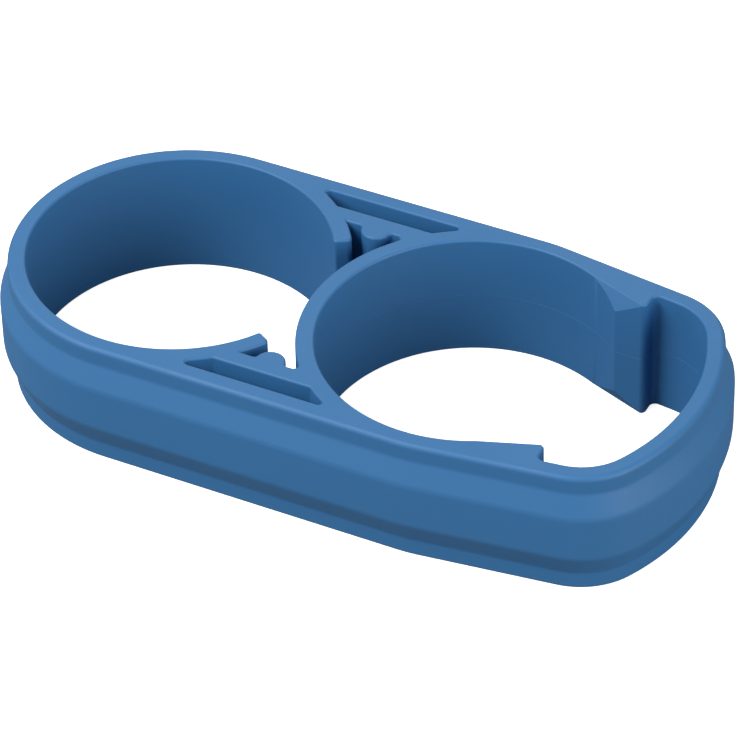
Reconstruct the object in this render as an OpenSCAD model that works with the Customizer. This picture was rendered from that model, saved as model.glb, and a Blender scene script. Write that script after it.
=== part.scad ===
// Twin-seat frame of a magnetic glass cleaner.
// Two round seats stand side by side inside one soft outer wall. The left seat
// opens into the right one between two short snap fingers, and the right seat
// opens into a curved end pocket between two solid shoulders. Millimetres, +Z up,
// origin on the resting plane at the middle of the overall box.

/* [Seats] */
// Radius of both round seats
seat_r = 20; // [18:0.5:24]
// Distance between the two seat centres
seat_gap = 42; // [41.5:0.5:43]
// Thickness of the ring wall round each seat
ring_wall = 2.4; // [2:0.1:2.6]
// Height of the whole frame
body_h = 18; // [16:0.4:24]

/* [Outer wall] */
// Thickness of the outer wall
side_wall = 2.4; // [2.3:0.1:3]
// Inward taper of the sides past the right seat, degrees
taper = 7.5; // [5:0.5:9]
// Radius of the two end corners
corner_r = 10; // [7:0.5:10.5]
// Radius of the curved end, about the right seat's centre
end_r = 32; // [31.5:0.1:33]

/* [Bumper band] */
// Height of the plain lip above and below the band
lip_h = 2.6; // [2:0.1:3]
// How far the band stands out past the lips
bulge = 1.3; // [0.5:0.1:1.5]
// Height over which the band swells to its full depth
bulge_h = 3.2; // [2.6:0.1:3.4]
// Depth of the groove that holds the band
groove = 1.2; // [0.9:0.1:1.4]

/* [Waist] */
// Half angle of the gap between the snap finger tips
tip_angle = 31; // [29:0.5:33]
// Half angle at which the fingers are hinged
hinge_angle = 40; // [39:0.5:41]
// Inner face of the ribs that join the two rings
rib_in = 15; // [14.6:0.1:15.4]
// Outer face of those ribs
rib_out = 17.4; // [17:0.1:17.8]
// Radius of the stop bump on each rib
bump_r = 2; // [1.6:0.1:2.2]
// Radial clearance of the finger roots in their sockets
hinge_play = 0.05; // [0.02:0.01:0.08]
// Length of each slot, end to end
slot_len = 19.2; // [18.4:0.2:19.6]

/* [Shoulders] */
// Angle at which the top edge leaves the right seat
lead_angle = 70; // [66:1:72]
// Angle at which the flat of the shoulder leaves the seat
flat_angle = 50; // [50:0.5:54]
// Length from the right seat's centre to the shoulders' end faces
shoulder_len = 17.3; // [16.6:0.1:17.6]
// Half distance between the two shoulder tips
shoulder_in = 15.1; // [14.8:0.1:15.4]
// Rounding of the shoulder tips
tip_r = 0.8; // [0.5:0.1:1]
// Height of the lead-in chamfer on the shoulders
lead_h = 2.4; // [1.4:0.1:2.6]

/* [Magnets] */
// Length of the bar magnets in the shoulders
bar_len = 5.5; // [4:0.5:5.5]
// Thickness of the bar magnets in the shoulders
bar_t = 1.5; // [1:0.1:1.6]
// Radius of the rod magnets in the left webs
rod_r = 0.8; // [0.6:0.05:0.85]
// Height of every magnet
magnet_h = 12; // [10:0.5:13]

/* [Hidden] */
$fn = 96;

// Bonding clearance round a piece that sits in a pocket, and overrun of a cut
fit = 0.05;
cut = 1;
// Angle that the chamfered tip of each snap finger takes up, degrees
tip_bevel = 1.6;
// Straight stretches of the outline lie this much inside the arcs they run into, so
// that the faces cross and don't only touch
ease = 0.02;
half_h = body_h / 2;
side_r = seat_r + side_wall;
ring_r = seat_r + ring_wall;
body_len = side_r + seat_gap + end_r + 2 * bulge;
left_x = side_r + bulge - body_len / 2;
right_x = left_x + seat_gap;
mid_x = (left_x + right_x) / 2;

// The end of the outline, seen from the right seat's centre: a tangent line falls
// at the taper angle to a corner arc, which rolls into the large end arc.
taper_len = sqrt(pow(end_r + ease - corner_r, 2) - pow(side_r - corner_r, 2));
corner_x = right_x + (side_r - corner_r) * sin(taper) + taper_len * cos(taper);
corner_y = (side_r - corner_r) * cos(taper) - taper_len * sin(taper);
end_angle = atan2(corner_y, corner_x - right_x);

// Fingers: a round root, a hair thinner than the wall, turns in a round socket.
hinge_r = seat_r + ring_wall / 2;
root_r = ring_wall / 2 - 0.02;
hinge_x = left_x + hinge_r * cos(hinge_angle);
hinge_y = hinge_r * sin(hinge_angle);

// Magnets and pegs: the bars lie along the tapered side, the rods and pegs stand
// in the webs left and right of the slots.
bar_along = 10.9;
bar_depth = 3;
rod_x = left_x + 9;
peg_x = right_x - 9;
web_y = 19.9;
peg_r = 0.75;
peg_h = 2.4;

blue = "#3f78b4";
deep_blue = "#3268a4";
steel = "#b8bcc2";

// A point at radius r and angle a about the point (x, 0).
function polar(x, r, a) = [x + r * cos(a), r * sin(a)];

// Angle that an arc of radius r turns on past its end, to cross its neighbour.
function past(r) = 1.35 * acos(1 - ease / r);

// ---- sweeping a section round the outline ----

// Child section turned about (x, y) from one angle to another, and past both by
// "over".
module turn(x, y, radius, from, to, over) {
    translate([x, y, 0])
        rotate_extrude(angle = to - from + 2 * over, start = from - over)
            translate([radius, 0])
                children();
}

// Child section run straight from (x, y), facing the angle "facing".
module run(x, y, facing, length) {
    translate([x, y, 0])
        rotate([90, 0, facing])
            translate([-ease, 0, 0])
                linear_extrude(length)
                    children();
}

// Child section swept round the whole outer wall.
module around() {
    turn(left_x, 0, side_r, 90, 270, past(side_r)) children();
    turn(right_x, 0, end_r, -end_angle, end_angle, 0) children();
    for (side = [0, 1])
        mirror([0, side, 0]) {
            run(left_x, side_r, 90, seat_gap) children();
            turn(right_x, 0, side_r, 90 - taper, 90, past(side_r)) children();
            run(right_x + side_r * sin(taper), side_r * cos(taper),
                90 - taper, taper_len) children();
            turn(corner_x, corner_y, corner_r, end_angle, 90 - taper, past(corner_r))
                children();
        }
}

// Section of the upper half of the band's groove, y up from the parting plane.
module groove_section() {
    translate([-groove, -cut]) square([groove + bulge + cut, half_h - lip_h + cut]);
}

// Section of the band, y up from the parting plane: flat in the middle and
// sloping back to the lips above and below.
module band_section() {
    lip_z = half_h - lip_h;
    flat_z = lip_z - bulge_h;
    back = fit - groove;
    polygon([[back, fit - lip_z], [0, fit - lip_z], [bulge, -flat_z],
             [bulge, flat_z], [0, lip_z - fit], [back, lip_z - fit]]);
}

// ---- plan shapes cut through the body ----

// Tapered end of the body, moved in by "inset": tangent sides, two round corners
// and the large end arc.
module end_block(inset, h) {
    side = side_r - inset - ease;
    corner = corner_r - inset;
    end = end_r - inset;
    up = [sin(taper), cos(taper)];
    for (mirrored = [0, 1])
        mirror([0, mirrored, 0]) {
            linear_extrude(h)
                polygon([[right_x, -cut], [right_x, side],
                         [right_x + side * up[0], side * up[1]],
                         [corner_x + (corner - ease) * up[0],
                          corner_y + (corner - ease) * up[1]],
                         [corner_x, corner_y], [corner_x, -cut]]);
            translate([corner_x, corner_y, 0]) cylinder(r = corner, h = h);
        }
    intersection() {
        translate([right_x, 0, 0]) cylinder(r = end, h = h);
        linear_extrude(h)
            polygon([[right_x, 0], polar(right_x, 2 * end_r, end_angle),
                     polar(right_x, 2 * end_r, -end_angle)]);
    }
}

// Upper half of the body before anything is cut from it.
module blank() {
    translate([left_x, 0, 0]) cylinder(r = side_r, h = half_h);
    translate([right_x, 0, 0]) cylinder(r = side_r, h = half_h);
    translate([left_x, ease - side_r, 0])
        cube([seat_gap, 2 * (side_r - ease), half_h]);
    end_block(0, half_h);
}

// End pocket, past the shoulders.
module pocket() {
    intersection() {
        translate([0, 0, -cut]) end_block(side_wall, half_h + 2 * cut);
        translate([right_x + shoulder_len, -side_r, -2 * cut])
            cube([end_r, 2 * side_r, half_h + 4 * cut]);
    }
}

// Throat between the shoulders, from the right seat to the end pocket. Each side
// of it is a flat that leaves the seat and ends on the round tip of a shoulder.
module throat_plan() {
    start = polar(right_x, seat_r, flat_angle);
    tip = [right_x + shoulder_len - tip_r, shoulder_in + tip_r];
    to_tip = tip - start;
    fall = atan2(to_tip[1], to_tip[0]) - asin(tip_r / norm(to_tip));
    flat_len = sqrt(pow(norm(to_tip), 2) - pow(tip_r, 2));
    touch = start + flat_len * [cos(fall), sin(fall)];
    past_x = right_x + shoulder_len + cut;
    for (side = [0, 1])
        mirror([0, side])
            difference() {
                polygon([[right_x, -cut], [right_x, 0], start, touch, tip,
                         [past_x, tip[1]], [past_x, -cut]]);
                translate(tip) circle(tip_r + ease);
            }
}

// Waist between the ribs. The rings' walls and two stop bumps are left standing,
// and the left ring's wall ends at the finger hinges.
module waist_plan() {
    far = 2 * ring_r;
    difference() {
        translate([left_x, -rib_in]) square([seat_gap, 2 * rib_in]);
        translate([right_x, 0]) circle(ring_r);
        for (side = [-1, 1])
            translate([mid_x, side * rib_in]) circle(bump_r);
        difference() {
            translate([left_x, 0]) circle(ring_r);
            polygon([[left_x, 0], polar(left_x, far, hinge_angle),
                     polar(left_x, far, -hinge_angle)]);
        }
    }
}

// Slot between the rings, the rear rib and the outer wall.
module slot_plan() {
    difference() {
        translate([mid_x - slot_len / 2, rib_out])
            square([slot_len, seat_r - rib_out]);
        translate([left_x, 0]) circle(ring_r);
        translate([right_x, 0]) circle(ring_r);
    }
}

// Rear snap finger: the end of the left ring's wall, with its round root.
module finger_plan() {
    far = 2 * ring_r;
    chamfer = 0.7;
    chamfer_angle = tip_angle + tip_bevel;
    intersection() {
        difference() {
            translate([left_x, 0]) circle(ring_r);
            translate([left_x, 0]) circle(seat_r);
        }
        polygon([[left_x, 0], polar(left_x, ring_r - chamfer, tip_angle),
                 polar(left_x, ring_r, chamfer_angle),
                 polar(left_x, far, chamfer_angle), polar(left_x, far, hinge_angle)]);
    }
    translate([hinge_x, hinge_y]) circle(root_r);
}

// ---- solids ----

// Runs a plan shape right through one half of the frame.
module through() {
    translate([0, 0, -cut])
        linear_extrude(half_h + 2 * cut)
            children();
}

// Wedge that slopes a shoulder's top edge into the right seat.
module lead_in() {
    slope = 0.5;
    edge = seat_r + ease;
    depth = 4;
    before = 2;
    after = 12;
    translate([right_x, 0, 0])
        rotate([90, 0, lead_angle])
            translate([0, 0, -before])
                linear_extrude(before + after)
                    polygon([[edge + slope * cut, half_h + cut],
                             [edge - slope * lead_h, half_h - lead_h],
                             [edge - depth, half_h - lead_h],
                             [edge - depth, half_h + cut]]);
}

// Bar magnet of the rear shoulder, grown by a clearance on every side.
module bar(grow) {
    translate([right_x, 0, 0])
        rotate([90, 0, 90 - taper])
            translate([side_r - bar_depth, 0, bar_along])
                cube([bar_t + 2 * grow, magnet_h + 2 * grow, bar_len + 2 * grow],
                     center = true);
}

// Rod magnet of the rear left web, grown by a clearance all round.
module rod(grow) {
    translate([rod_x, web_y, 0])
        cylinder(r = rod_r + grow, h = magnet_h + 2 * grow, center = true);
}

// Upper half of the frame, from the parting plane at z = 0 up.
module frame_half() {
    difference() {
        blank();
        around() groove_section();
        for (x = [left_x, right_x])
            translate([x, 0, -cut]) cylinder(r = seat_r, h = half_h + 2 * cut);
        pocket();
        through() throat_plan();
        through() waist_plan();
        for (side = [0, 1])
            mirror([0, side, 0]) {
                through() slot_plan();
                through() translate([hinge_x, hinge_y]) circle(root_r + hinge_play);
                lead_in();
                bar(fit);
                rod(fit);
            }
    }
}

// The two locating pegs at the parting plane, grown by a clearance.
module pegs(grow) {
    for (side = [-1, 1])
        translate([peg_x, side * web_y, -cut])
            cylinder(r = peg_r + grow, h = peg_h + cut + grow);
}

module upper_frame() {
    color(blue)
        translate([0, 0, half_h])
            difference() {
                frame_half();
                pegs(fit);
            }
}

module lower_frame() {
    color(blue)
        translate([0, 0, half_h])
            union() {
                mirror([0, 0, 1]) frame_half();
                pegs(0);
            }
}

module bumper_band() {
    color(deep_blue)
        translate([0, 0, half_h])
            around() band_section();
}

module rear_snap_finger() {
    color(blue)
        linear_extrude(body_h)
            finger_plan();
}

module front_snap_finger() {
    mirror([0, 1, 0]) rear_snap_finger();
}

module rear_end_magnet() {
    color(steel) translate([0, 0, half_h]) bar(0);
}

module front_end_magnet() {
    mirror([0, 1, 0]) rear_end_magnet();
}

module rear_side_magnet() {
    color(steel) translate([0, 0, half_h]) rod(0);
}

module front_side_magnet() {
    mirror([0, 1, 0]) rear_side_magnet();
}

upper_frame();
lower_frame();
bumper_band();
front_snap_finger();
rear_snap_finger();
front_end_magnet();
rear_end_magnet();
front_side_magnet();
rear_side_magnet();
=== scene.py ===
"""Visual model of a twin-seat glass cleaner frame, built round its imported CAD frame."""

import logging
import math
from dataclasses import dataclass, field
from enum import Enum

import bpy
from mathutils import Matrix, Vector


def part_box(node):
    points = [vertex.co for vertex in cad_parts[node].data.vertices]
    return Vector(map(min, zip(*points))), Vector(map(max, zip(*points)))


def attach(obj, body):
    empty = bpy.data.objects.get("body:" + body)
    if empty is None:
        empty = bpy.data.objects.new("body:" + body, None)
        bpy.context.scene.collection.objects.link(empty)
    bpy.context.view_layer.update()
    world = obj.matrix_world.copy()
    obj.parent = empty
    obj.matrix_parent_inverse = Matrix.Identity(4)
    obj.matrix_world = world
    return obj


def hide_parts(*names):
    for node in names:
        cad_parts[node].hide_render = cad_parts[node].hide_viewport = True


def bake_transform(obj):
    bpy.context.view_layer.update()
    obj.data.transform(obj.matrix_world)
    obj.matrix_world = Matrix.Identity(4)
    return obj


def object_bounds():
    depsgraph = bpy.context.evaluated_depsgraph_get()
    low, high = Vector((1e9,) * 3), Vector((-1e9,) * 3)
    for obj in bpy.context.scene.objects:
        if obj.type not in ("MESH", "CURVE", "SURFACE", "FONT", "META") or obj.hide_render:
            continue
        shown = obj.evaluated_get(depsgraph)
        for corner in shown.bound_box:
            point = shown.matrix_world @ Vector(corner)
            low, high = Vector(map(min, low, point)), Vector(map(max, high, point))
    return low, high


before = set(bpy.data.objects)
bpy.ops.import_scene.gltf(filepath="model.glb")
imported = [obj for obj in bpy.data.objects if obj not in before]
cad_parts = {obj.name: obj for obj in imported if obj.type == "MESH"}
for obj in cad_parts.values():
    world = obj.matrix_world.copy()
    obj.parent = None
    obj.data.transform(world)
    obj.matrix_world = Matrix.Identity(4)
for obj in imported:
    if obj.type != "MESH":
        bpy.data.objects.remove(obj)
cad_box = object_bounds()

log = logging.getLogger("glass_cleaner_frame")
MM = 0.001
NEAR = 0.001  # places closer than this, in millimetres, are the same place
SEAM = 0.002  # the same across the seam where a sweep ends

Point = tuple[float, float]
Section = list[Point]


class Side(Enum):
    """Long sides of the frame: the front one faces -Y and the rear one faces +Y."""

    FRONT = -1
    REAR = 1


@dataclass(frozen=True)
class Line:
    """A straight stretch of an outline, in millimetres."""

    length: float


@dataclass(frozen=True)
class Arc:
    """A round stretch of an outline: a positive turn, in degrees, goes left."""

    radius: float
    turn: float


Move = Line | Arc


def deselect_all() -> None:
    """Leaves edit mode and deselects every object."""
    if bpy.context.object and bpy.context.object.mode != "OBJECT":
        bpy.ops.object.mode_set(mode="OBJECT")
    bpy.ops.object.select_all(action="DESELECT")


def activate(piece: bpy.types.Object) -> None:
    """Selects one object alone and makes it the active one.

    Args:
        piece: The object that the next operators act on.
    """
    deselect_all()
    piece.select_set(True)
    bpy.context.view_layer.objects.active = piece


def remove(piece: bpy.types.Object) -> None:
    """Deletes one object."""
    activate(piece)
    bpy.ops.object.delete()


def rounding(radius: float, top: float, outward: bool) -> Section:
    """Section of a rounded top edge, listed from the top down.

    Args:
        radius: Radius of the rounding.
        top: Height of the flat face above it.
        outward: True where the flat lies on the side of positive offsets.

    Returns:
        Points from the flat's edge down to the wall at offset zero.
    """
    sign = 1 if outward else -1
    steps = 6
    points = []
    for step in range(steps + 1):
        angle = math.radians(90 * (1 - step / steps))
        points.append((sign * radius * (1 - math.cos(angle)), top - radius * (1 - math.sin(angle))))
    return points


class Sweep:
    """A section carried along an outline by extruding and spinning it.

    A section's first number is measured to the right of the way ahead, and its second
    number is the height. All sizes are in millimetres and degrees.
    """

    wide_radius = 3.0
    wide_chord = 0.8
    tight_chord = 0.16
    widest_step = 12.0

    def __init__(
        self, name: str, section: Section, start: Point, heading: float, ring: bool = False
    ) -> None:
        """Draws the section at the start of the outline.

        Args:
            name: Name of the new piece.
            section: Points of the section, in order.
            start: Place of the section's zero offset.
            heading: Direction of travel, in degrees from +X.
            ring: True where the section's last point joins its first.
        """
        self.x, self.y = start
        self.heading = heading
        deselect_all()
        places = [self._place(point) for point in section]
        bpy.ops.mesh.primitive_plane_add(size=MM, location=places[0])
        bpy.ops.object.transform_apply(location=True, rotation=True, scale=True)
        self.piece = bpy.context.object
        self.piece.name = name
        bpy.ops.object.mode_set(mode="EDIT")
        bpy.ops.mesh.select_mode(type="VERT")
        bpy.ops.mesh.select_all(action="SELECT")
        bpy.ops.mesh.merge(type="CENTER")
        for before, after in zip(places, places[1:]):
            bpy.ops.mesh.extrude_region_move(TRANSFORM_OT_translate={"value": after - before})
        if ring:
            bpy.ops.mesh.extrude_region_move(
                TRANSFORM_OT_translate={"value": places[0] - places[-1]}
            )
            bpy.ops.mesh.select_all(action="SELECT")
            bpy.ops.mesh.remove_doubles(threshold=NEAR * MM)
        bpy.ops.mesh.select_all(action="SELECT")

    def _place(self, point: Point) -> Vector:
        """Place of a section's point at the present spot.

        Args:
            point: Offset to the right and height, in millimetres.

        Returns:
            The place in metres.
        """
        angle = math.radians(self.heading)
        right = (math.sin(angle), -math.cos(angle))
        return Vector((self.x + point[0] * right[0], self.y + point[0] * right[1], point[1])) * MM

    def walk(self, moves: list[Move]) -> "Sweep":
        """Carries the section along a list of moves.

        Args:
            moves: Straight and round stretches, in order.

        Returns:
            The sweep itself, ready for more moves or for closing.
        """
        for move in moves:
            if isinstance(move, Line):
                self._run(move.length)
            else:
                self._turn(move.radius, move.turn)
        return self

    def _run(self, length: float) -> None:
        """Extrudes the section straight ahead.

        Args:
            length: How far it goes.
        """
        angle = math.radians(self.heading)
        step = (length * math.cos(angle), length * math.sin(angle))
        self.x += step[0]
        self.y += step[1]
        bpy.ops.mesh.extrude_region_move(
            TRANSFORM_OT_translate={"value": (step[0] * MM, step[1] * MM, 0)}
        )

    def _turn(self, radius: float, turn: float) -> None:
        """Spins the section about a centre on its left or its right.

        Args:
            radius: Distance from the outline to the centre.
            turn: Angle to turn by, positive to the left.
        """
        side = math.radians(self.heading + math.copysign(90, turn))
        centre = (self.x + radius * math.cos(side), self.y + radius * math.sin(side))
        chord = self.wide_chord if radius > self.wide_radius else self.tight_chord
        arc_length = math.radians(abs(turn)) * radius
        steps = max(math.ceil(abs(turn) / self.widest_step), math.ceil(arc_length / chord))
        bpy.ops.mesh.spin(
            steps=steps,
            angle=-math.radians(turn),
            center=(centre[0] * MM, centre[1] * MM, 0),
            axis=(0, 0, 1),
        )
        angle = math.radians(turn)
        dx, dy = self.x - centre[0], self.y - centre[1]
        self.x = centre[0] + dx * math.cos(angle) - dy * math.sin(angle)
        self.y = centre[1] + dx * math.sin(angle) + dy * math.cos(angle)
        self.heading += turn

    def close(self) -> bpy.types.Object:
        """Welds the seam, fills what is open and turns the faces outwards.

        Returns:
            The closed piece, in object mode.
        """
        bpy.ops.mesh.select_all(action="SELECT")
        bpy.ops.mesh.remove_doubles(threshold=SEAM * MM)
        bpy.ops.mesh.select_all(action="SELECT")
        bpy.ops.mesh.fill_holes(sides=0)
        bpy.ops.mesh.select_all(action="SELECT")
        bpy.ops.mesh.normals_make_consistent(inside=False)
        bpy.ops.object.mode_set(mode="OBJECT")
        return self.piece

    def cap(self, height: float) -> None:
        """Closes an open outline's rim with one flat face.

        Args:
            height: Height of the rim.
        """
        bpy.ops.mesh.select_all(action="DESELECT")
        bpy.ops.object.mode_set(mode="OBJECT")
        for vertex in self.piece.data.vertices:
            vertex.select = abs(vertex.co.z - height * MM) < NEAR * MM
        bpy.ops.object.mode_set(mode="EDIT")
        bpy.ops.mesh.edge_face_add()


def subtract(piece: bpy.types.Object, cutter: bpy.types.Object) -> None:
    """Cuts one closed piece out of another and removes the cutter.

    Args:
        piece: The piece that keeps its name.
        cutter: The shape that is taken away.
    """
    activate(piece)
    bpy.ops.object.modifier_add(type="BOOLEAN")
    modifier = piece.modifiers[-1]
    modifier.operation = "DIFFERENCE"
    modifier.solver = "EXACT"
    modifier.object = cutter
    bpy.ops.object.modifier_apply(modifier=modifier.name)
    remove(cutter)


def mirrored(
    piece: bpy.types.Object, name: str, across: Vector, height: float = 0.0
) -> bpy.types.Object:
    """Copies a piece, mirrors the copy and turns its faces outwards again.

    Args:
        piece: The piece to copy.
        name: Name of the copy.
        across: Scale that mirrors it, such as (1, -1, 1).
        height: Rise of the copy after it is mirrored, in millimetres.

    Returns:
        The mirrored copy, with its own mesh.
    """
    activate(piece)
    bpy.ops.object.duplicate(linked=False)
    copy = bpy.context.object
    copy.name = name
    copy.scale = across
    copy.location.z = height * MM
    bpy.ops.object.transform_apply(location=True, rotation=True, scale=True)
    bpy.ops.object.mode_set(mode="EDIT")
    bpy.ops.mesh.select_all(action="SELECT")
    bpy.ops.mesh.normals_make_consistent(inside=False)
    bpy.ops.object.mode_set(mode="OBJECT")
    return copy


def soften(piece: bpy.types.Object, sharp: float = 24.0) -> None:
    """Smooths a piece's round faces and keeps its flats flat.

    Args:
        piece: The piece to shade.
        sharp: Edges that turn more than this, in degrees, stay crisp.
    """
    activate(piece)
    bpy.ops.object.shade_smooth_by_angle(angle=math.radians(sharp), keep_sharp_edges=False)
    bpy.ops.object.modifier_add(type="WEIGHTED_NORMAL")
    piece.modifiers[-1].keep_sharp = True
    bpy.ops.object.modifier_apply(modifier=piece.modifiers[-1].name)


# ---- finishes ----


class SkinGroup:
    """Shader group for a moulded skin: mottled colour, uneven gloss and fine grain."""

    name = "moulded_skin"

    @classmethod
    def tree(cls) -> bpy.types.NodeTree:
        """The group, built the first time that it is asked for."""
        return bpy.data.node_groups.get(cls.name) or cls._build()

    @classmethod
    def _build(cls) -> bpy.types.NodeTree:
        """Builds the group's sockets and nodes.

        Returns:
            The new node group.
        """
        tree = bpy.data.node_groups.new(cls.name, "ShaderNodeTree")
        for name, kind in (
            ("Position", "NodeSocketVector"),
            ("Colour", "NodeSocketColor"),
            ("Deep colour", "NodeSocketColor"),
            ("Grain size", "NodeSocketFloat"),
            ("Dullest", "NodeSocketFloat"),
            ("Glossiest", "NodeSocketFloat"),
        ):
            tree.interface.new_socket(name=name, in_out="INPUT", socket_type=kind)
        for name, kind in (
            ("Colour", "NodeSocketColor"),
            ("Roughness", "NodeSocketFloat"),
            ("Grain", "NodeSocketFloat"),
        ):
            tree.interface.new_socket(name=name, in_out="OUTPUT", socket_type=kind)
        enter = tree.nodes.new("NodeGroupInput")
        leave = tree.nodes.new("NodeGroupOutput")
        clouds = tree.nodes.new("ShaderNodeTexNoise")
        clouds.inputs["Scale"].default_value = 70
        clouds.inputs["Detail"].default_value = 3
        grain = tree.nodes.new("ShaderNodeTexNoise")
        grain.inputs["Detail"].default_value = 2
        grain.inputs["Roughness"].default_value = 0.6
        mix = tree.nodes.new("ShaderNodeMix")
        mix.data_type = "RGBA"
        gloss = tree.nodes.new("ShaderNodeMapRange")
        gloss.inputs["From Min"].default_value = 0.3
        gloss.inputs["From Max"].default_value = 0.7
        link = tree.links.new
        link(enter.outputs["Position"], clouds.inputs["Vector"])
        link(enter.outputs["Position"], grain.inputs["Vector"])
        link(enter.outputs["Grain size"], grain.inputs["Scale"])
        link(clouds.outputs["Fac"], mix.inputs["Factor"])
        link(enter.outputs["Colour"], mix.inputs["A"])
        link(enter.outputs["Deep colour"], mix.inputs["B"])
        link(clouds.outputs["Fac"], gloss.inputs["Value"])
        link(enter.outputs["Glossiest"], gloss.inputs["To Min"])
        link(enter.outputs["Dullest"], gloss.inputs["To Max"])
        link(mix.outputs["Result"], leave.inputs["Colour"])
        link(gloss.outputs["Result"], leave.inputs["Roughness"])
        link(grain.outputs["Fac"], leave.inputs["Grain"])
        return tree


class RubGroup:
    """Shader group for handling rub: a patchy mask where hands polish the skin."""

    name = "handling_rub"

    @classmethod
    def tree(cls) -> bpy.types.NodeTree:
        """The group, built the first time that it is asked for."""
        return bpy.data.node_groups.get(cls.name) or cls._build()

    @classmethod
    def _build(cls) -> bpy.types.NodeTree:
        """Builds the group's sockets and nodes.

        Returns:
            The new node group.
        """
        tree = bpy.data.node_groups.new(cls.name, "ShaderNodeTree")
        tree.interface.new_socket(name="Position", in_out="INPUT", socket_type="NodeSocketVector")
        tree.interface.new_socket(name="Roughness", in_out="INPUT", socket_type="NodeSocketFloat")
        tree.interface.new_socket(name="Polish", in_out="INPUT", socket_type="NodeSocketFloat")
        tree.interface.new_socket(name="Roughness", in_out="OUTPUT", socket_type="NodeSocketFloat")
        enter = tree.nodes.new("NodeGroupInput")
        leave = tree.nodes.new("NodeGroupOutput")
        patches = tree.nodes.new("ShaderNodeTexNoise")
        patches.inputs["Scale"].default_value = 160
        patches.inputs["Detail"].default_value = 4
        mask = tree.nodes.new("ShaderNodeMapRange")
        mask.inputs["From Min"].default_value = 0.55
        mask.inputs["From Max"].default_value = 0.75
        share = tree.nodes.new("ShaderNodeMath")
        share.operation = "MULTIPLY"
        lower = tree.nodes.new("ShaderNodeMath")
        lower.operation = "SUBTRACT"
        link = tree.links.new
        link(enter.outputs["Position"], patches.inputs["Vector"])
        link(patches.outputs["Fac"], mask.inputs["Value"])
        link(mask.outputs["Result"], share.inputs[0])
        link(enter.outputs["Polish"], share.inputs[1])
        link(enter.outputs["Roughness"], lower.inputs[0])
        link(share.outputs["Value"], lower.inputs[1])
        link(lower.outputs["Value"], leave.inputs["Roughness"])
        return tree


@dataclass(frozen=True)
class Finish:
    """A surface finish that builds its own material."""

    name: str
    slot: str
    colour: tuple[float, float, float]
    deep_colour: tuple[float, float, float]
    glossiest: float
    dullest: float
    grain_size: float
    grain_depth: float
    polish: float = 0.05
    metallic: float = 0.0
    specular: float = 0.5

    def material(self) -> bpy.types.Material:
        """The finish's material, built the first time that it is asked for.

        Returns:
            A material on Object coordinates with both shared groups in it.
        """
        made = bpy.data.materials.get(self.name)
        if made:
            return made
        made = bpy.data.materials.new(self.name)
        made.use_nodes = True
        nodes, link = made.node_tree.nodes, made.node_tree.links.new
        shader = nodes["Principled BSDF"]
        shader.inputs["Metallic"].default_value = self.metallic
        shader.inputs["Specular IOR Level"].default_value = self.specular
        where = nodes.new("ShaderNodeTexCoord")
        skin = nodes.new("ShaderNodeGroup")
        skin.node_tree = SkinGroup.tree()
        skin.inputs["Colour"].default_value = (*self.colour, 1)
        skin.inputs["Deep colour"].default_value = (*self.deep_colour, 1)
        skin.inputs["Grain size"].default_value = self.grain_size
        skin.inputs["Glossiest"].default_value = self.glossiest
        skin.inputs["Dullest"].default_value = self.dullest
        rub = nodes.new("ShaderNodeGroup")
        rub.node_tree = RubGroup.tree()
        rub.inputs["Polish"].default_value = self.polish
        bump = nodes.new("ShaderNodeBump")
        bump.inputs["Strength"].default_value = 1.0
        bump.inputs["Distance"].default_value = self.grain_depth
        link(where.outputs["Object"], skin.inputs["Position"])
        link(where.outputs["Object"], rub.inputs["Position"])
        link(skin.outputs["Colour"], shader.inputs["Base Color"])
        link(skin.outputs["Roughness"], rub.inputs["Roughness"])
        link(rub.outputs["Roughness"], shader.inputs["Roughness"])
        link(skin.outputs["Grain"], bump.inputs["Height"])
        link(bump.outputs["Normal"], shader.inputs["Normal"])
        return made

    def dress(self, piece: bpy.types.Object) -> None:
        """Gives a piece this finish."""
        piece.data.materials.clear()
        piece.data.materials.append(self.material())


SOFT_BLUE = Finish(
    "soft_blue_plastic", "frame_blue", (0.027, 0.138, 0.330), (0.024, 0.129, 0.315),
    glossiest=0.54, dullest=0.62, grain_size=5200, grain_depth=0.000006,
)
BAND_BLUE = Finish(
    "blue_bumper_rubber", "band_blue", (0.027, 0.138, 0.330), (0.024, 0.129, 0.315),
    glossiest=0.56, dullest=0.64, grain_size=4600, grain_depth=0.000008,
)
NICKEL = Finish(
    "bright_nickel", "magnet_plating", (0.62, 0.61, 0.58), (0.55, 0.54, 0.52),
    glossiest=0.18, dullest=0.30, grain_size=9000, grain_depth=0.000002, metallic=1.0,
)


# ---- sizes and outlines ----


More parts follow.
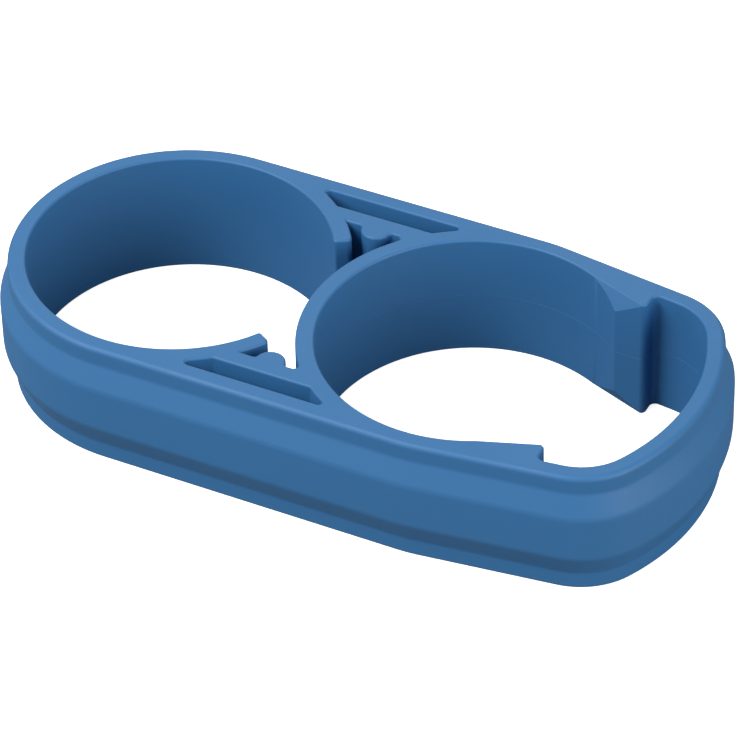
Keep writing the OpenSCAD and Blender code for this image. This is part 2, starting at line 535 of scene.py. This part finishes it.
@dataclass(frozen=True)
class FrameSizes:
    """Sizes of the moulded frame in millimetres, and its outlines."""

    seat_radius: float = 20.0
    seat_gap: float = 42.0
    ring_wall: float = 2.4
    side_wall: float = 2.4
    taper: float = 7.5
    corner_radius: float = 10.0
    end_radius: float = 32.0
    bulge: float = 1.3
    lip_height: float = 2.6
    slope_height: float = 3.2
    tip_angle: float = 31.0
    rib_inner: float = 15.0
    rib_outer: float = 17.4
    slot_outer: float = 20.0
    bump_radius: float = 2.0
    flat_angle: float = 50.0
    shoulder_length: float = 17.3
    shoulder_inner: float = 15.1
    shoulder_tip: float = 0.8
    shoulder_bend: float = 0.5
    lead_angle: float = 70.0
    finger_inner_round: float = 0.4
    finger_outer_round: float = 0.75
    bump_fillet: float = 0.5
    rib_fillet: float = 0.6
    slot_fillet: float = 0.4
    slot_end: float = 0.45
    pocket_fillet: float = 0.8
    height: float = (cad_box[1][2] - cad_box[0][2]) / MM
    lowest_x: float = cad_box[0][0] / MM

    @property
    def side_radius(self) -> float:
        """Radius of the outer wall round the left seat."""
        return self.seat_radius + self.side_wall

    @property
    def ring_radius(self) -> float:
        """Outer radius of the ring walls."""
        return self.seat_radius + self.ring_wall

    @property
    def left_x(self) -> float:
        """Place of the left seat's centre along X."""
        return self.lowest_x + self.bulge + self.side_radius

    @property
    def right_x(self) -> float:
        """Place of the right seat's centre along X."""
        return self.left_x + self.seat_gap

    @property
    def middle_x(self) -> float:
        """Middle between the two seat centres."""
        return (self.left_x + self.right_x) / 2

    @property
    def root_angle(self) -> float:
        """Angle about the left seat at which a rib meets the ring, in degrees."""
        return math.degrees(math.asin(self.rib_inner / self.ring_radius))

    @property
    def taper_length(self) -> float:
        """Length of the tapered side."""
        return math.sqrt(
            (self.end_radius - self.corner_radius) ** 2
            - (self.side_radius - self.corner_radius) ** 2
        )

    @property
    def end_angle(self) -> float:
        """Half angle of the large end arc, in degrees."""
        across = self.side_radius - self.corner_radius
        return math.degrees(math.atan2(across, self.taper_length)) - self.taper

    def outer_wall(self) -> list[Move]:
        """Half of the outer wall's outline, from the left end round to the right one.

        Returns:
            Moves that start at the left end and go along the front.
        """
        turn = 90 - self.end_angle - self.taper
        return [
            Arc(self.side_radius, 90), Line(self.seat_gap),
            Arc(self.side_radius, self.taper), Line(self.taper_length),
            Arc(self.corner_radius, turn), Arc(self.end_radius, self.end_angle),
        ]

    def finger_tip(self) -> tuple[float, float, float]:
        """How far a finger's tip roundings reach.

        Returns:
            Angle taken up by the inner one, angle taken up by the outer one, and length
            of the flat between them.
        """
        inner, outer = self.finger_inner_round, self.finger_outer_round
        inside = self.seat_radius + inner
        outside = self.ring_radius - outer
        flat = math.sqrt(outside**2 - outer**2) - math.sqrt(inside**2 - inner**2)
        return (
            math.degrees(math.asin(inner / inside)),
            math.degrees(math.asin(outer / outside)),
            flat,
        )

    def left_space(self) -> list[Move]:
        """Half of the left seat and the waist, which are one space between the fingers.

        Returns:
            Moves that start at the seat's left and go round a finger and a bump.
        """
        lean_in, lean_out, flat = self.finger_tip()
        root = self.root_angle
        fillet = self.bump_fillet
        reach = math.sqrt((self.bump_radius + fillet) ** 2 - fillet**2)
        bump_lean = math.degrees(math.atan2(fillet, reach))
        root_x = self.left_x + self.ring_radius * math.cos(math.radians(root))
        corner = self.rib_fillet
        corner_reach = math.sqrt((self.ring_radius + corner) ** 2 - (self.rib_inner - corner) ** 2)
        corner_lean = math.degrees(math.atan2(self.rib_inner - corner, corner_reach))
        return [
            Arc(self.seat_radius, 180 - self.tip_angle - lean_in),
            Arc(self.finger_inner_round, lean_in - 90),
            Line(flat),
            Arc(self.finger_outer_round, -90 - lean_out),
            Arc(self.ring_radius, self.tip_angle + lean_out - root),
            Arc(0, 90 + root),
            Line(self.middle_x - reach - root_x),
            Arc(fillet, 90 - bump_lean),
            Arc(self.bump_radius, 2 * bump_lean - 180),
            Arc(fillet, 90 - bump_lean),
            Line(self.right_x - corner_reach - self.middle_x - reach),
            Arc(corner, 90 + corner_lean),
            Arc(self.ring_radius, -corner_lean),
        ]

    def finger(self) -> list[Move]:
        """Outline of a finger, from its root along the seat, round its tip and back.

        Returns:
            Moves from the inner end of the root to the outer one.
        """
        lean_in, lean_out, flat = self.finger_tip()
        return [
            Arc(self.seat_radius, self.tip_angle + lean_in - self.root_angle),
            Arc(self.finger_inner_round, 90 - lean_in),
            Line(flat),
            Arc(self.finger_outer_round, 90 + lean_out),
            Arc(self.ring_radius, self.root_angle - self.tip_angle - lean_out),
        ]

    def right_space(self) -> list[Move]:
        """Half of the right seat, the throat between the shoulders and the end pocket.

        Returns:
            Moves that start at the seat's left and end in the middle of the end arc.
        """
        leave = math.radians(self.flat_angle)
        start = Vector((self.seat_radius * math.cos(leave), -self.seat_radius * math.sin(leave)))
        tip = Vector(
            (self.shoulder_length - self.shoulder_tip, -self.shoulder_inner - self.shoulder_tip)
        )
        way = tip - start
        rise = math.atan2(way.y, way.x) + math.asin(self.shoulder_tip / way.length)
        along = Vector((math.cos(rise), math.sin(rise)))
        right = Vector((math.sin(rise), -math.cos(rise)))
        depth = start.dot(right) + self.shoulder_bend
        reach = math.sqrt((self.seat_radius + self.shoulder_bend) ** 2 - depth**2)
        slope = math.degrees(rise)
        bend_angle = 90 - slope - math.degrees(math.atan2(reach, depth))
        tilt = math.radians(self.taper)
        inner = self.side_radius - self.side_wall - self.pocket_fillet
        fillet_x = self.shoulder_length + self.pocket_fillet
        fillet_y = (fillet_x * math.sin(tilt) - inner) / math.cos(tilt)
        used = fillet_x * math.cos(tilt) + fillet_y * math.sin(tilt)
        turn = 90 - self.end_angle - self.taper
        return [
            Arc(self.seat_radius, 180 - bend_angle),
            Arc(self.shoulder_bend, bend_angle + slope - 90),
            Line(tip.dot(along) - reach),
            Arc(self.shoulder_tip, -90 - slope),
            Line(tip.y - fillet_y),
            Arc(self.pocket_fillet, 90 + self.taper),
            Line(self.taper_length - used),
            Arc(self.corner_radius - self.side_wall, turn),
            Arc(self.end_radius - self.side_wall, self.end_angle),
        ]

    def slot(self) -> list[Move]:
        """Half of a slot between a rib and the outer wall, from its middle.

        Returns:
            Moves from the middle of the rib's side to the middle of the wall's side.
        """
        near, far = self.slot_fillet, self.slot_end
        near_y, far_y = self.rib_outer + near, self.slot_outer - far
        near_reach = math.sqrt((self.ring_radius + near) ** 2 - near_y**2)
        far_reach = math.sqrt((self.ring_radius + far) ** 2 - far_y**2)
        near_lean = math.degrees(math.atan2(near_y, near_reach))
        far_lean = math.degrees(math.atan2(far_y, far_reach))
        half = self.right_x - self.middle_x
        return [
            Line(half - near_reach), Arc(near, 90 - near_lean),
            Arc(self.ring_radius, near_lean - far_lean),
            Arc(far, 90 + far_lean), Line(half - far_reach),
        ]


@dataclass(frozen=True)
class Edges:
    """Roundings of the moulded rims, in millimetres."""

    outer: float
    inner: float


SIZES = FrameSizes()
TOP_EDGES = Edges(outer=0.75, inner=0.35)
BOTTOM_EDGES = Edges(outer=0.5, inner=0.25)
MAGNET_NODES = ("front_end_magnet", "rear_end_magnet", "front_side_magnet", "rear_side_magnet")


# ---- sub-assemblies ----


@dataclass
class FrameShell:
    """The two moulded halves of the frame, with their spaces, slots and lead-ins."""

    sizes: FrameSizes = SIZES
    finish: Finish = SOFT_BLUE
    groove_depth: float = 1.2
    parting: float = 0.015
    overrun: float = 1.0
    magnet_play: float = 0.05
    finger_margin: float = 2.0
    finger_overlap: float = 0.005
    lead_before: float = 0.5
    lead_after: float = 12.0
    lead_reach: float = 4.0
    # Lead-in from its rounded upper edge down: offset into the seat, and drop
    lead_slope: tuple[Point, ...] = (
        (-0.16, 0.0), (-0.08, 0.02), (0.0, 0.07), (0.08, 0.19), (0.72, 1.5), (1.3, 2.7),
    )

    def build(self) -> list[bpy.types.Object]:
        """Builds both halves and dresses them.

        Returns:
            The upper half and the lower half.
        """
        upper = self._half("upper_frame_shell", TOP_EDGES)
        drawn = self._half("drawn_half", BOTTOM_EDGES)
        lower = mirrored(drawn, "lower_frame_shell", Vector((1, 1, -1)), self.sizes.height)
        remove(drawn)
        for piece, node in ((upper, "upper_frame"), (lower, "lower_frame")):
            soften(piece)
            self.finish.dress(piece)
            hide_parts(node)
            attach(piece, "frame")
        return [upper, lower]

    def _half(self, name: str, edges: Edges) -> bpy.types.Object:
        """Builds one half as the upper one, from the parting plane up.

        Args:
            name: Name of the half.
            edges: Roundings of its rims.

        Returns:
            The half, with its spaces, slots, lead-ins and magnet pockets cut.
        """
        sizes = self.sizes
        half = self._outer_wall(name, edges.outer)
        left, right = sizes.left_x - sizes.seat_radius, sizes.right_x - sizes.seat_radius
        subtract(half, self._cutter((left, 0), 270, sizes.left_space(), edges.inner))
        subtract(
            half, self._cutter((right, 0), 270, sizes.right_space(), edges.inner, self.parting)
        )
        slot = self._cutter((sizes.middle_x, sizes.rib_outer), 0, sizes.slot(), edges.inner)
        for rear in (self._finger_cutter(), slot, self._lead_in_cutter()):
            front = mirrored(rear, "front_cutter", Vector((1, -1, 1)))
            subtract(half, rear)
            subtract(half, front)
        for node in MAGNET_NODES:
            subtract(half, Magnet(node).block(grow=self.magnet_play))
        return half

    def _outer_wall(self, name: str, rim: float) -> bpy.types.Object:
        """Upper half as one solid block with a rounded rim and the band's groove.

        Args:
            name: Name of the block.
            rim: Radius of its rounded rim.

        Returns:
            The block.
        """
        sizes = self.sizes
        middle = sizes.height / 2
        lip = sizes.height - sizes.lip_height
        section = rounding(rim, sizes.height, outward=False) + [
            (0, lip), (-self.groove_depth, lip), (-self.groove_depth, middle),
        ]
        half = sizes.outer_wall()
        start = (sizes.left_x - sizes.side_radius, 0)
        return Sweep(name, section, start, 270).walk(half + half[::-1]).close()

    def _cutter(
        self, start: Point, heading: float, half: list[Move], rim: float, parting: float = 0.0
    ) -> bpy.types.Object:
        """Closed cutter for a symmetric space, flared at the rim.

        Args:
            start: Where the outline starts.
            heading: The direction in which it starts.
            half: Half of the outline; the other half is its mirror image.
            rim: Radius of the rounded rim that it leaves.
            parting: Chamfer at the parting plane, which leaves a hairline there.

        Returns:
            The cutter.
        """
        top, middle = self.sizes.height, self.sizes.height / 2
        section = (
            [(rim, top + self.overrun)]
            + rounding(rim, top, outward=True)
            + [(0, middle + parting), (parting, middle), (parting, middle - self.overrun)]
        )
        return Sweep("space_cutter", section, start, heading).walk(half + half[::-1]).close()

    def _finger_cutter(self) -> bpy.types.Object:
        """Cutter that takes the rear finger off the left ring, at a flat radial root.

        Returns:
            The cutter.
        """
        sizes = self.sizes
        before_tip = sizes.tip_angle - self.finger_margin
        angle = math.radians(before_tip)
        start = (
            sizes.left_x + sizes.seat_radius * math.cos(angle), sizes.seat_radius * math.sin(angle),
        )
        inside, outside = -self.overrun, sizes.ring_wall + self.finger_overlap
        top, bottom = sizes.height + self.overrun, sizes.height / 2 - self.overrun
        section = [(inside, top), (outside, top), (outside, bottom), (inside, bottom)]
        sweep = Sweep("finger_cutter", section, start, 90 + before_tip, ring=True)
        return sweep.walk([Arc(sizes.seat_radius, sizes.root_angle - before_tip)]).close()

    def _lead_in_cutter(self) -> bpy.types.Object:
        """Wedge that slopes the rear shoulder's top edge into the right seat.

        Returns:
            The cutter.
        """
        sizes = self.sizes
        angle = math.radians(sizes.lead_angle)
        across, along = math.cos(angle), math.sin(angle)
        start = (
            sizes.right_x + sizes.seat_radius * across - self.lead_before * along,
            sizes.seat_radius * along + self.lead_before * across,
        )
        top = sizes.height
        slope = [(offset, top - drop) for offset, drop in self.lead_slope]
        above = top + self.overrun
        section = [(slope[0][0], above), *slope, (self.lead_reach, slope[-1][1])]
        section.append((self.lead_reach, above))
        sweep = Sweep("lead_in_cutter", section, start, sizes.lead_angle - 90, ring=True)
        return sweep.walk([Line(self.lead_before + self.lead_after)]).close()


@dataclass
class BumperBand:
    """The soft band that stands out round the whole outer wall."""

    sizes: FrameSizes = SIZES
    finish: Finish = BAND_BLUE
    bend_radius: float = 2.5
    crease_radius: float = 1.6
    depth: float = 1.15
    overlap: float = 0.005
    step_in: float = 0.03
    play: float = 0.05
    crisp_angle: float = 40.0
    arc_steps: int = 4

    def build(self) -> bpy.types.Object:
        """Sweeps the band's section round the outer wall and dresses it.

        Returns:
            The band.
        """
        sizes = self.sizes
        half = sizes.outer_wall()
        start = (sizes.left_x - sizes.side_radius, 0)
        sweep = Sweep("bumper_band_ring", self.section(), start, 270, ring=True)
        band = sweep.walk(half + half[::-1]).close()
        soften(band, self.crisp_angle)
        self.finish.dress(band)
        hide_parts("bumper_band")
        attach(band, "frame")
        return band

    def section(self) -> Section:
        """Closed section: flat in the middle, with a straight slope to a soft crease each way.

        Returns:
            Points from the top of the band down its outside and up its back.
        """
        middle, bulge = self.sizes.height / 2, self.sizes.bulge
        half_height = middle - self.sizes.lip_height
        flat_half = half_height - self.sizes.slope_height
        slope = math.atan2(bulge + self.overlap, self.sizes.slope_height)
        bend = self.bend_radius * math.tan(slope / 2)
        crease = self.crease_radius * math.tan(slope / 2)
        upper = []
        for step in range(self.arc_steps + 1):
            angle = slope * step / self.arc_steps
            upper.append(
                (
                    bulge - self.bend_radius * (1 - math.cos(angle)),
                    flat_half - bend + self.bend_radius * math.sin(angle),
                )
            )
        for step in range(self.arc_steps + 1):
            angle = slope * (1 - step / self.arc_steps)
            upper.append(
                (
                    self.crease_radius * (1 - math.cos(angle)) - self.overlap,
                    half_height + crease - self.crease_radius * math.sin(angle),
                )
            )
        upper.append((-self.step_in, half_height - self.play))
        upper.append((-self.depth, half_height - self.play))
        lower = [(x, -y) for x, y in upper]
        return [(x, middle + y) for x, y in upper[::-1] + lower]


@dataclass
class SnapFinger:
    """One springy finger that keeps what sits in the left seat."""

    side: Side
    sizes: FrameSizes = SIZES
    finish: Finish = SOFT_BLUE
    bend_end: float = 36.0

    def build(self) -> bpy.types.Object:
        """Builds the finger and dresses it.

        Returns:
            The finger.
        """
        word = self.side.name.lower()
        name = f"{word}_finger_piece"
        if self.side is Side.REAR:
            piece = self._rear_finger(name)
        else:
            drawn = self._rear_finger("drawn_finger")
            piece = mirrored(drawn, name, Vector((1, -1, 1)))
            remove(drawn)
        soften(piece)
        self.finish.dress(piece)
        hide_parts(f"{word}_snap_finger")
        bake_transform(piece)
        return piece

    def _rear_finger(self, name: str) -> bpy.types.Object:
        """The rear finger's solid, with rounded rims and a flat root.

        Args:
            name: Name of the new piece.

        Returns:
            The closed piece.
        """
        sizes = self.sizes
        root = math.radians(sizes.root_angle)
        start = (
            sizes.left_x + sizes.seat_radius * math.cos(root), sizes.seat_radius * math.sin(root),
        )
        upper = rounding(TOP_EDGES.inner, sizes.height, outward=False)
        lower = rounding(BOTTOM_EDGES.inner, sizes.height, outward=False)
        section = upper + [(x, sizes.height - z) for x, z in lower[::-1]]
        sweep = Sweep(name, section, start, sizes.root_angle - 90).walk(sizes.finger())
        sweep.cap(sizes.height)
        sweep.cap(0)
        return sweep.close()


@dataclass
class Magnet:
    """A plated magnet in its pocket: a bar in a shoulder or a rod in a web."""

    node: str
    finish: Finish = NICKEL
    tilt: float = 7.5
    bar: tuple[float, float, float] = (5.5, 1.5, 12.0)
    rod_radius: float = 0.8
    rod_sides: int = 32
    edge: float = 0.12
    sharp_angle: float = 50.0

    def build(self) -> bpy.types.Object:
        """Builds the magnet with bevelled edges and dresses it.

        Returns:
            The magnet.
        """
        piece = self.block(grow=0.0)
        piece.name = f"{self.node}_plated"
        bpy.ops.object.mode_set(mode="EDIT")
        bpy.ops.mesh.select_mode(type="EDGE")
        bpy.ops.mesh.select_all(action="DESELECT")
        bpy.ops.mesh.edges_select_sharp(sharpness=math.radians(self.sharp_angle))
        bpy.ops.mesh.bevel(offset=self.edge * MM, segments=3, affect="EDGES")
        bpy.ops.object.mode_set(mode="OBJECT")
        soften(piece)
        self.finish.dress(piece)
        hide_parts(self.node)
        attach(piece, "frame")
        return piece

    def block(self, grow: float) -> bpy.types.Object:
        """Plain block or rod of this magnet, grown by a clearance on every side.

        Args:
            grow: The clearance in millimetres.

        Returns:
            The shape at the magnet's place, with its place in its mesh.
        """
        lowest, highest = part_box(self.node)
        centre = (lowest + highest) / 2
        deselect_all()
        if "side" in self.node:
            bpy.ops.mesh.primitive_cylinder_add(
                vertices=self.rod_sides, radius=(self.rod_radius + grow) * MM,
                depth=(self.bar[2] + 2 * grow) * MM, location=centre,
            )
        else:
            bpy.ops.mesh.primitive_cube_add(size=1, location=centre)
            bpy.context.object.scale = [(edge + 2 * grow) * MM for edge in self.bar]
            sign = -1 if centre.y > 0 else 1
            bpy.context.object.rotation_euler.z = sign * math.radians(self.tilt)
        bpy.ops.object.transform_apply(location=True, rotation=True, scale=True)
        return bpy.context.object


# ---- studio ----


@dataclass
class Studio:
    """Camera, pale floor and soft light."""

    target: tuple[float, float, float] = (0.002, -0.0014, 0.0091)
    distance: float = 0.5908
    azimuth: float = 27.53
    elevation: float = 39.26
    roll: float = -1.443
    lens: float = 225.08
    floor_size: float = 6.0
    lights: list[tuple[str, tuple[float, float, float], float, float]] = field(
        default_factory=lambda: [
            ("high_left_key", (-0.35, -0.45, 0.62), 0.5, 7.3),
            ("low_right_fill", (0.85, -0.15, 0.25), 0.6, 6.0),
            ("low_left_fill", (-0.85, -0.05, 0.25), 0.6, 1.0),
            ("low_rear_fill", (-0.25, 0.75, 0.28), 0.6, 1.0),
            ("rear_sheen", (-0.322, 0.618, 0.57), 0.7, 0.8),
        ]
    )

    def build(self) -> None:
        """Sets the camera, the floor, the sky and the lights."""
        self._camera()
        self._floor()
        self._sky()
        for name, place, size, power in self.lights:
            self._light(name, Vector(place), size, power)
        bpy.context.scene.view_settings.view_transform = "Standard"

    def _camera(self) -> None:
        """Adds the camera on its sphere round the target."""
        turn, rise = math.radians(self.azimuth), math.radians(self.elevation)
        back = Vector(
            (math.sin(turn) * math.cos(rise), -math.cos(turn) * math.cos(rise), math.sin(rise))
        )
        aim = back.to_track_quat("Z", "Y").to_matrix().to_4x4()
        deselect_all()
        bpy.ops.object.camera_add(location=Vector(self.target) + back * self.distance)
        camera = bpy.context.object
        camera.rotation_euler = aim.to_euler()
        camera.rotation_euler.rotate_axis("Z", math.radians(self.roll))
        camera.data.lens = self.lens
        camera.data.sensor_width = 36
        camera.data.clip_start = 0.01
        bpy.context.scene.camera = camera

    def _floor(self) -> None:
        """Adds a wide pale floor, bright to the camera and dim to every other ray."""
        deselect_all()
        bpy.ops.mesh.primitive_plane_add(size=self.floor_size)
        floor = bpy.context.object
        floor.name = "pale_floor"
        made = bpy.data.materials.new("pale_floor_paint")
        made.use_nodes = True
        shader = made.node_tree.nodes["Principled BSDF"]
        shader.inputs["Roughness"].default_value = 0.9
        shader.inputs["Specular IOR Level"].default_value = 0.1
        shader.inputs["Emission Color"].default_value = (1, 1, 1, 1)
        shader.inputs["Emission Strength"].default_value = 0.8
        where = made.node_tree.nodes.new("ShaderNodeTexCoord")
        cloud = made.node_tree.nodes.new("ShaderNodeTexNoise")
        cloud.inputs["Scale"].default_value = 3
        tint = made.node_tree.nodes.new("ShaderNodeMix")
        tint.data_type = "RGBA"
        tint.inputs["A"].default_value = (0.93, 0.93, 0.92, 1)
        tint.inputs["B"].default_value = (0.95, 0.95, 0.94, 1)
        link = made.node_tree.links.new
        link(where.outputs["Object"], cloud.inputs["Vector"])
        link(cloud.outputs["Fac"], tint.inputs["Factor"])
        dim = made.node_tree.nodes.new("ShaderNodeBsdfDiffuse")
        dim.inputs["Color"].default_value = (0.22, 0.23, 0.22, 1)
        path = made.node_tree.nodes.new("ShaderNodeLightPath")
        share = made.node_tree.nodes.new("ShaderNodeMixShader")
        finish = made.node_tree.nodes["Material Output"]
        link(tint.outputs["Result"], shader.inputs["Base Color"])
        link(path.outputs["Is Camera Ray"], share.inputs["Fac"])
        link(dim.outputs["BSDF"], share.inputs[1])
        link(shader.outputs["BSDF"], share.inputs[2])
        link(share.outputs["Shader"], finish.inputs["Surface"])
        floor.data.materials.append(made)

    def _sky(self) -> None:
        """Surrounds the scene with even light, very slightly green."""
        world = bpy.data.worlds.new("studio_white")
        world.use_nodes = True
        sky = world.node_tree.nodes["Background"]
        sky.inputs["Color"].default_value = (0.97, 1.0, 0.93, 1)
        sky.inputs["Strength"].default_value = 0.35
        bpy.context.scene.world = world

    def _light(self, name: str, place: Vector, size: float, power: float) -> None:
        """Adds one square softbox that faces the frame.

        Args:
            name: Name of the light.
            place: Its centre, in metres.
            size: Length of its sides, in metres.
            power: Its power in watts.
        """
        deselect_all()
        bpy.ops.object.light_add(type="AREA", location=place)
        light = bpy.context.object
        light.name = name
        light.data.size = size
        light.data.energy = power
        light.rotation_euler = place.to_track_quat("Z", "Y").to_euler()


def main() -> None:
    """Builds every sub-assembly in order and reports each piece."""
    logging.basicConfig(level=logging.INFO, format="%(message)s")
    Studio().build()
    pieces = FrameShell().build()
    pieces.append(BumperBand().build())
    pieces += [SnapFinger(side).build() for side in Side]
    pieces += [Magnet(node).build() for node in MAGNET_NODES]
    for piece in pieces:
        log.info("%s: %d faces", piece.name, len(piece.data.polygons))


if __name__ == "__main__":
    main()
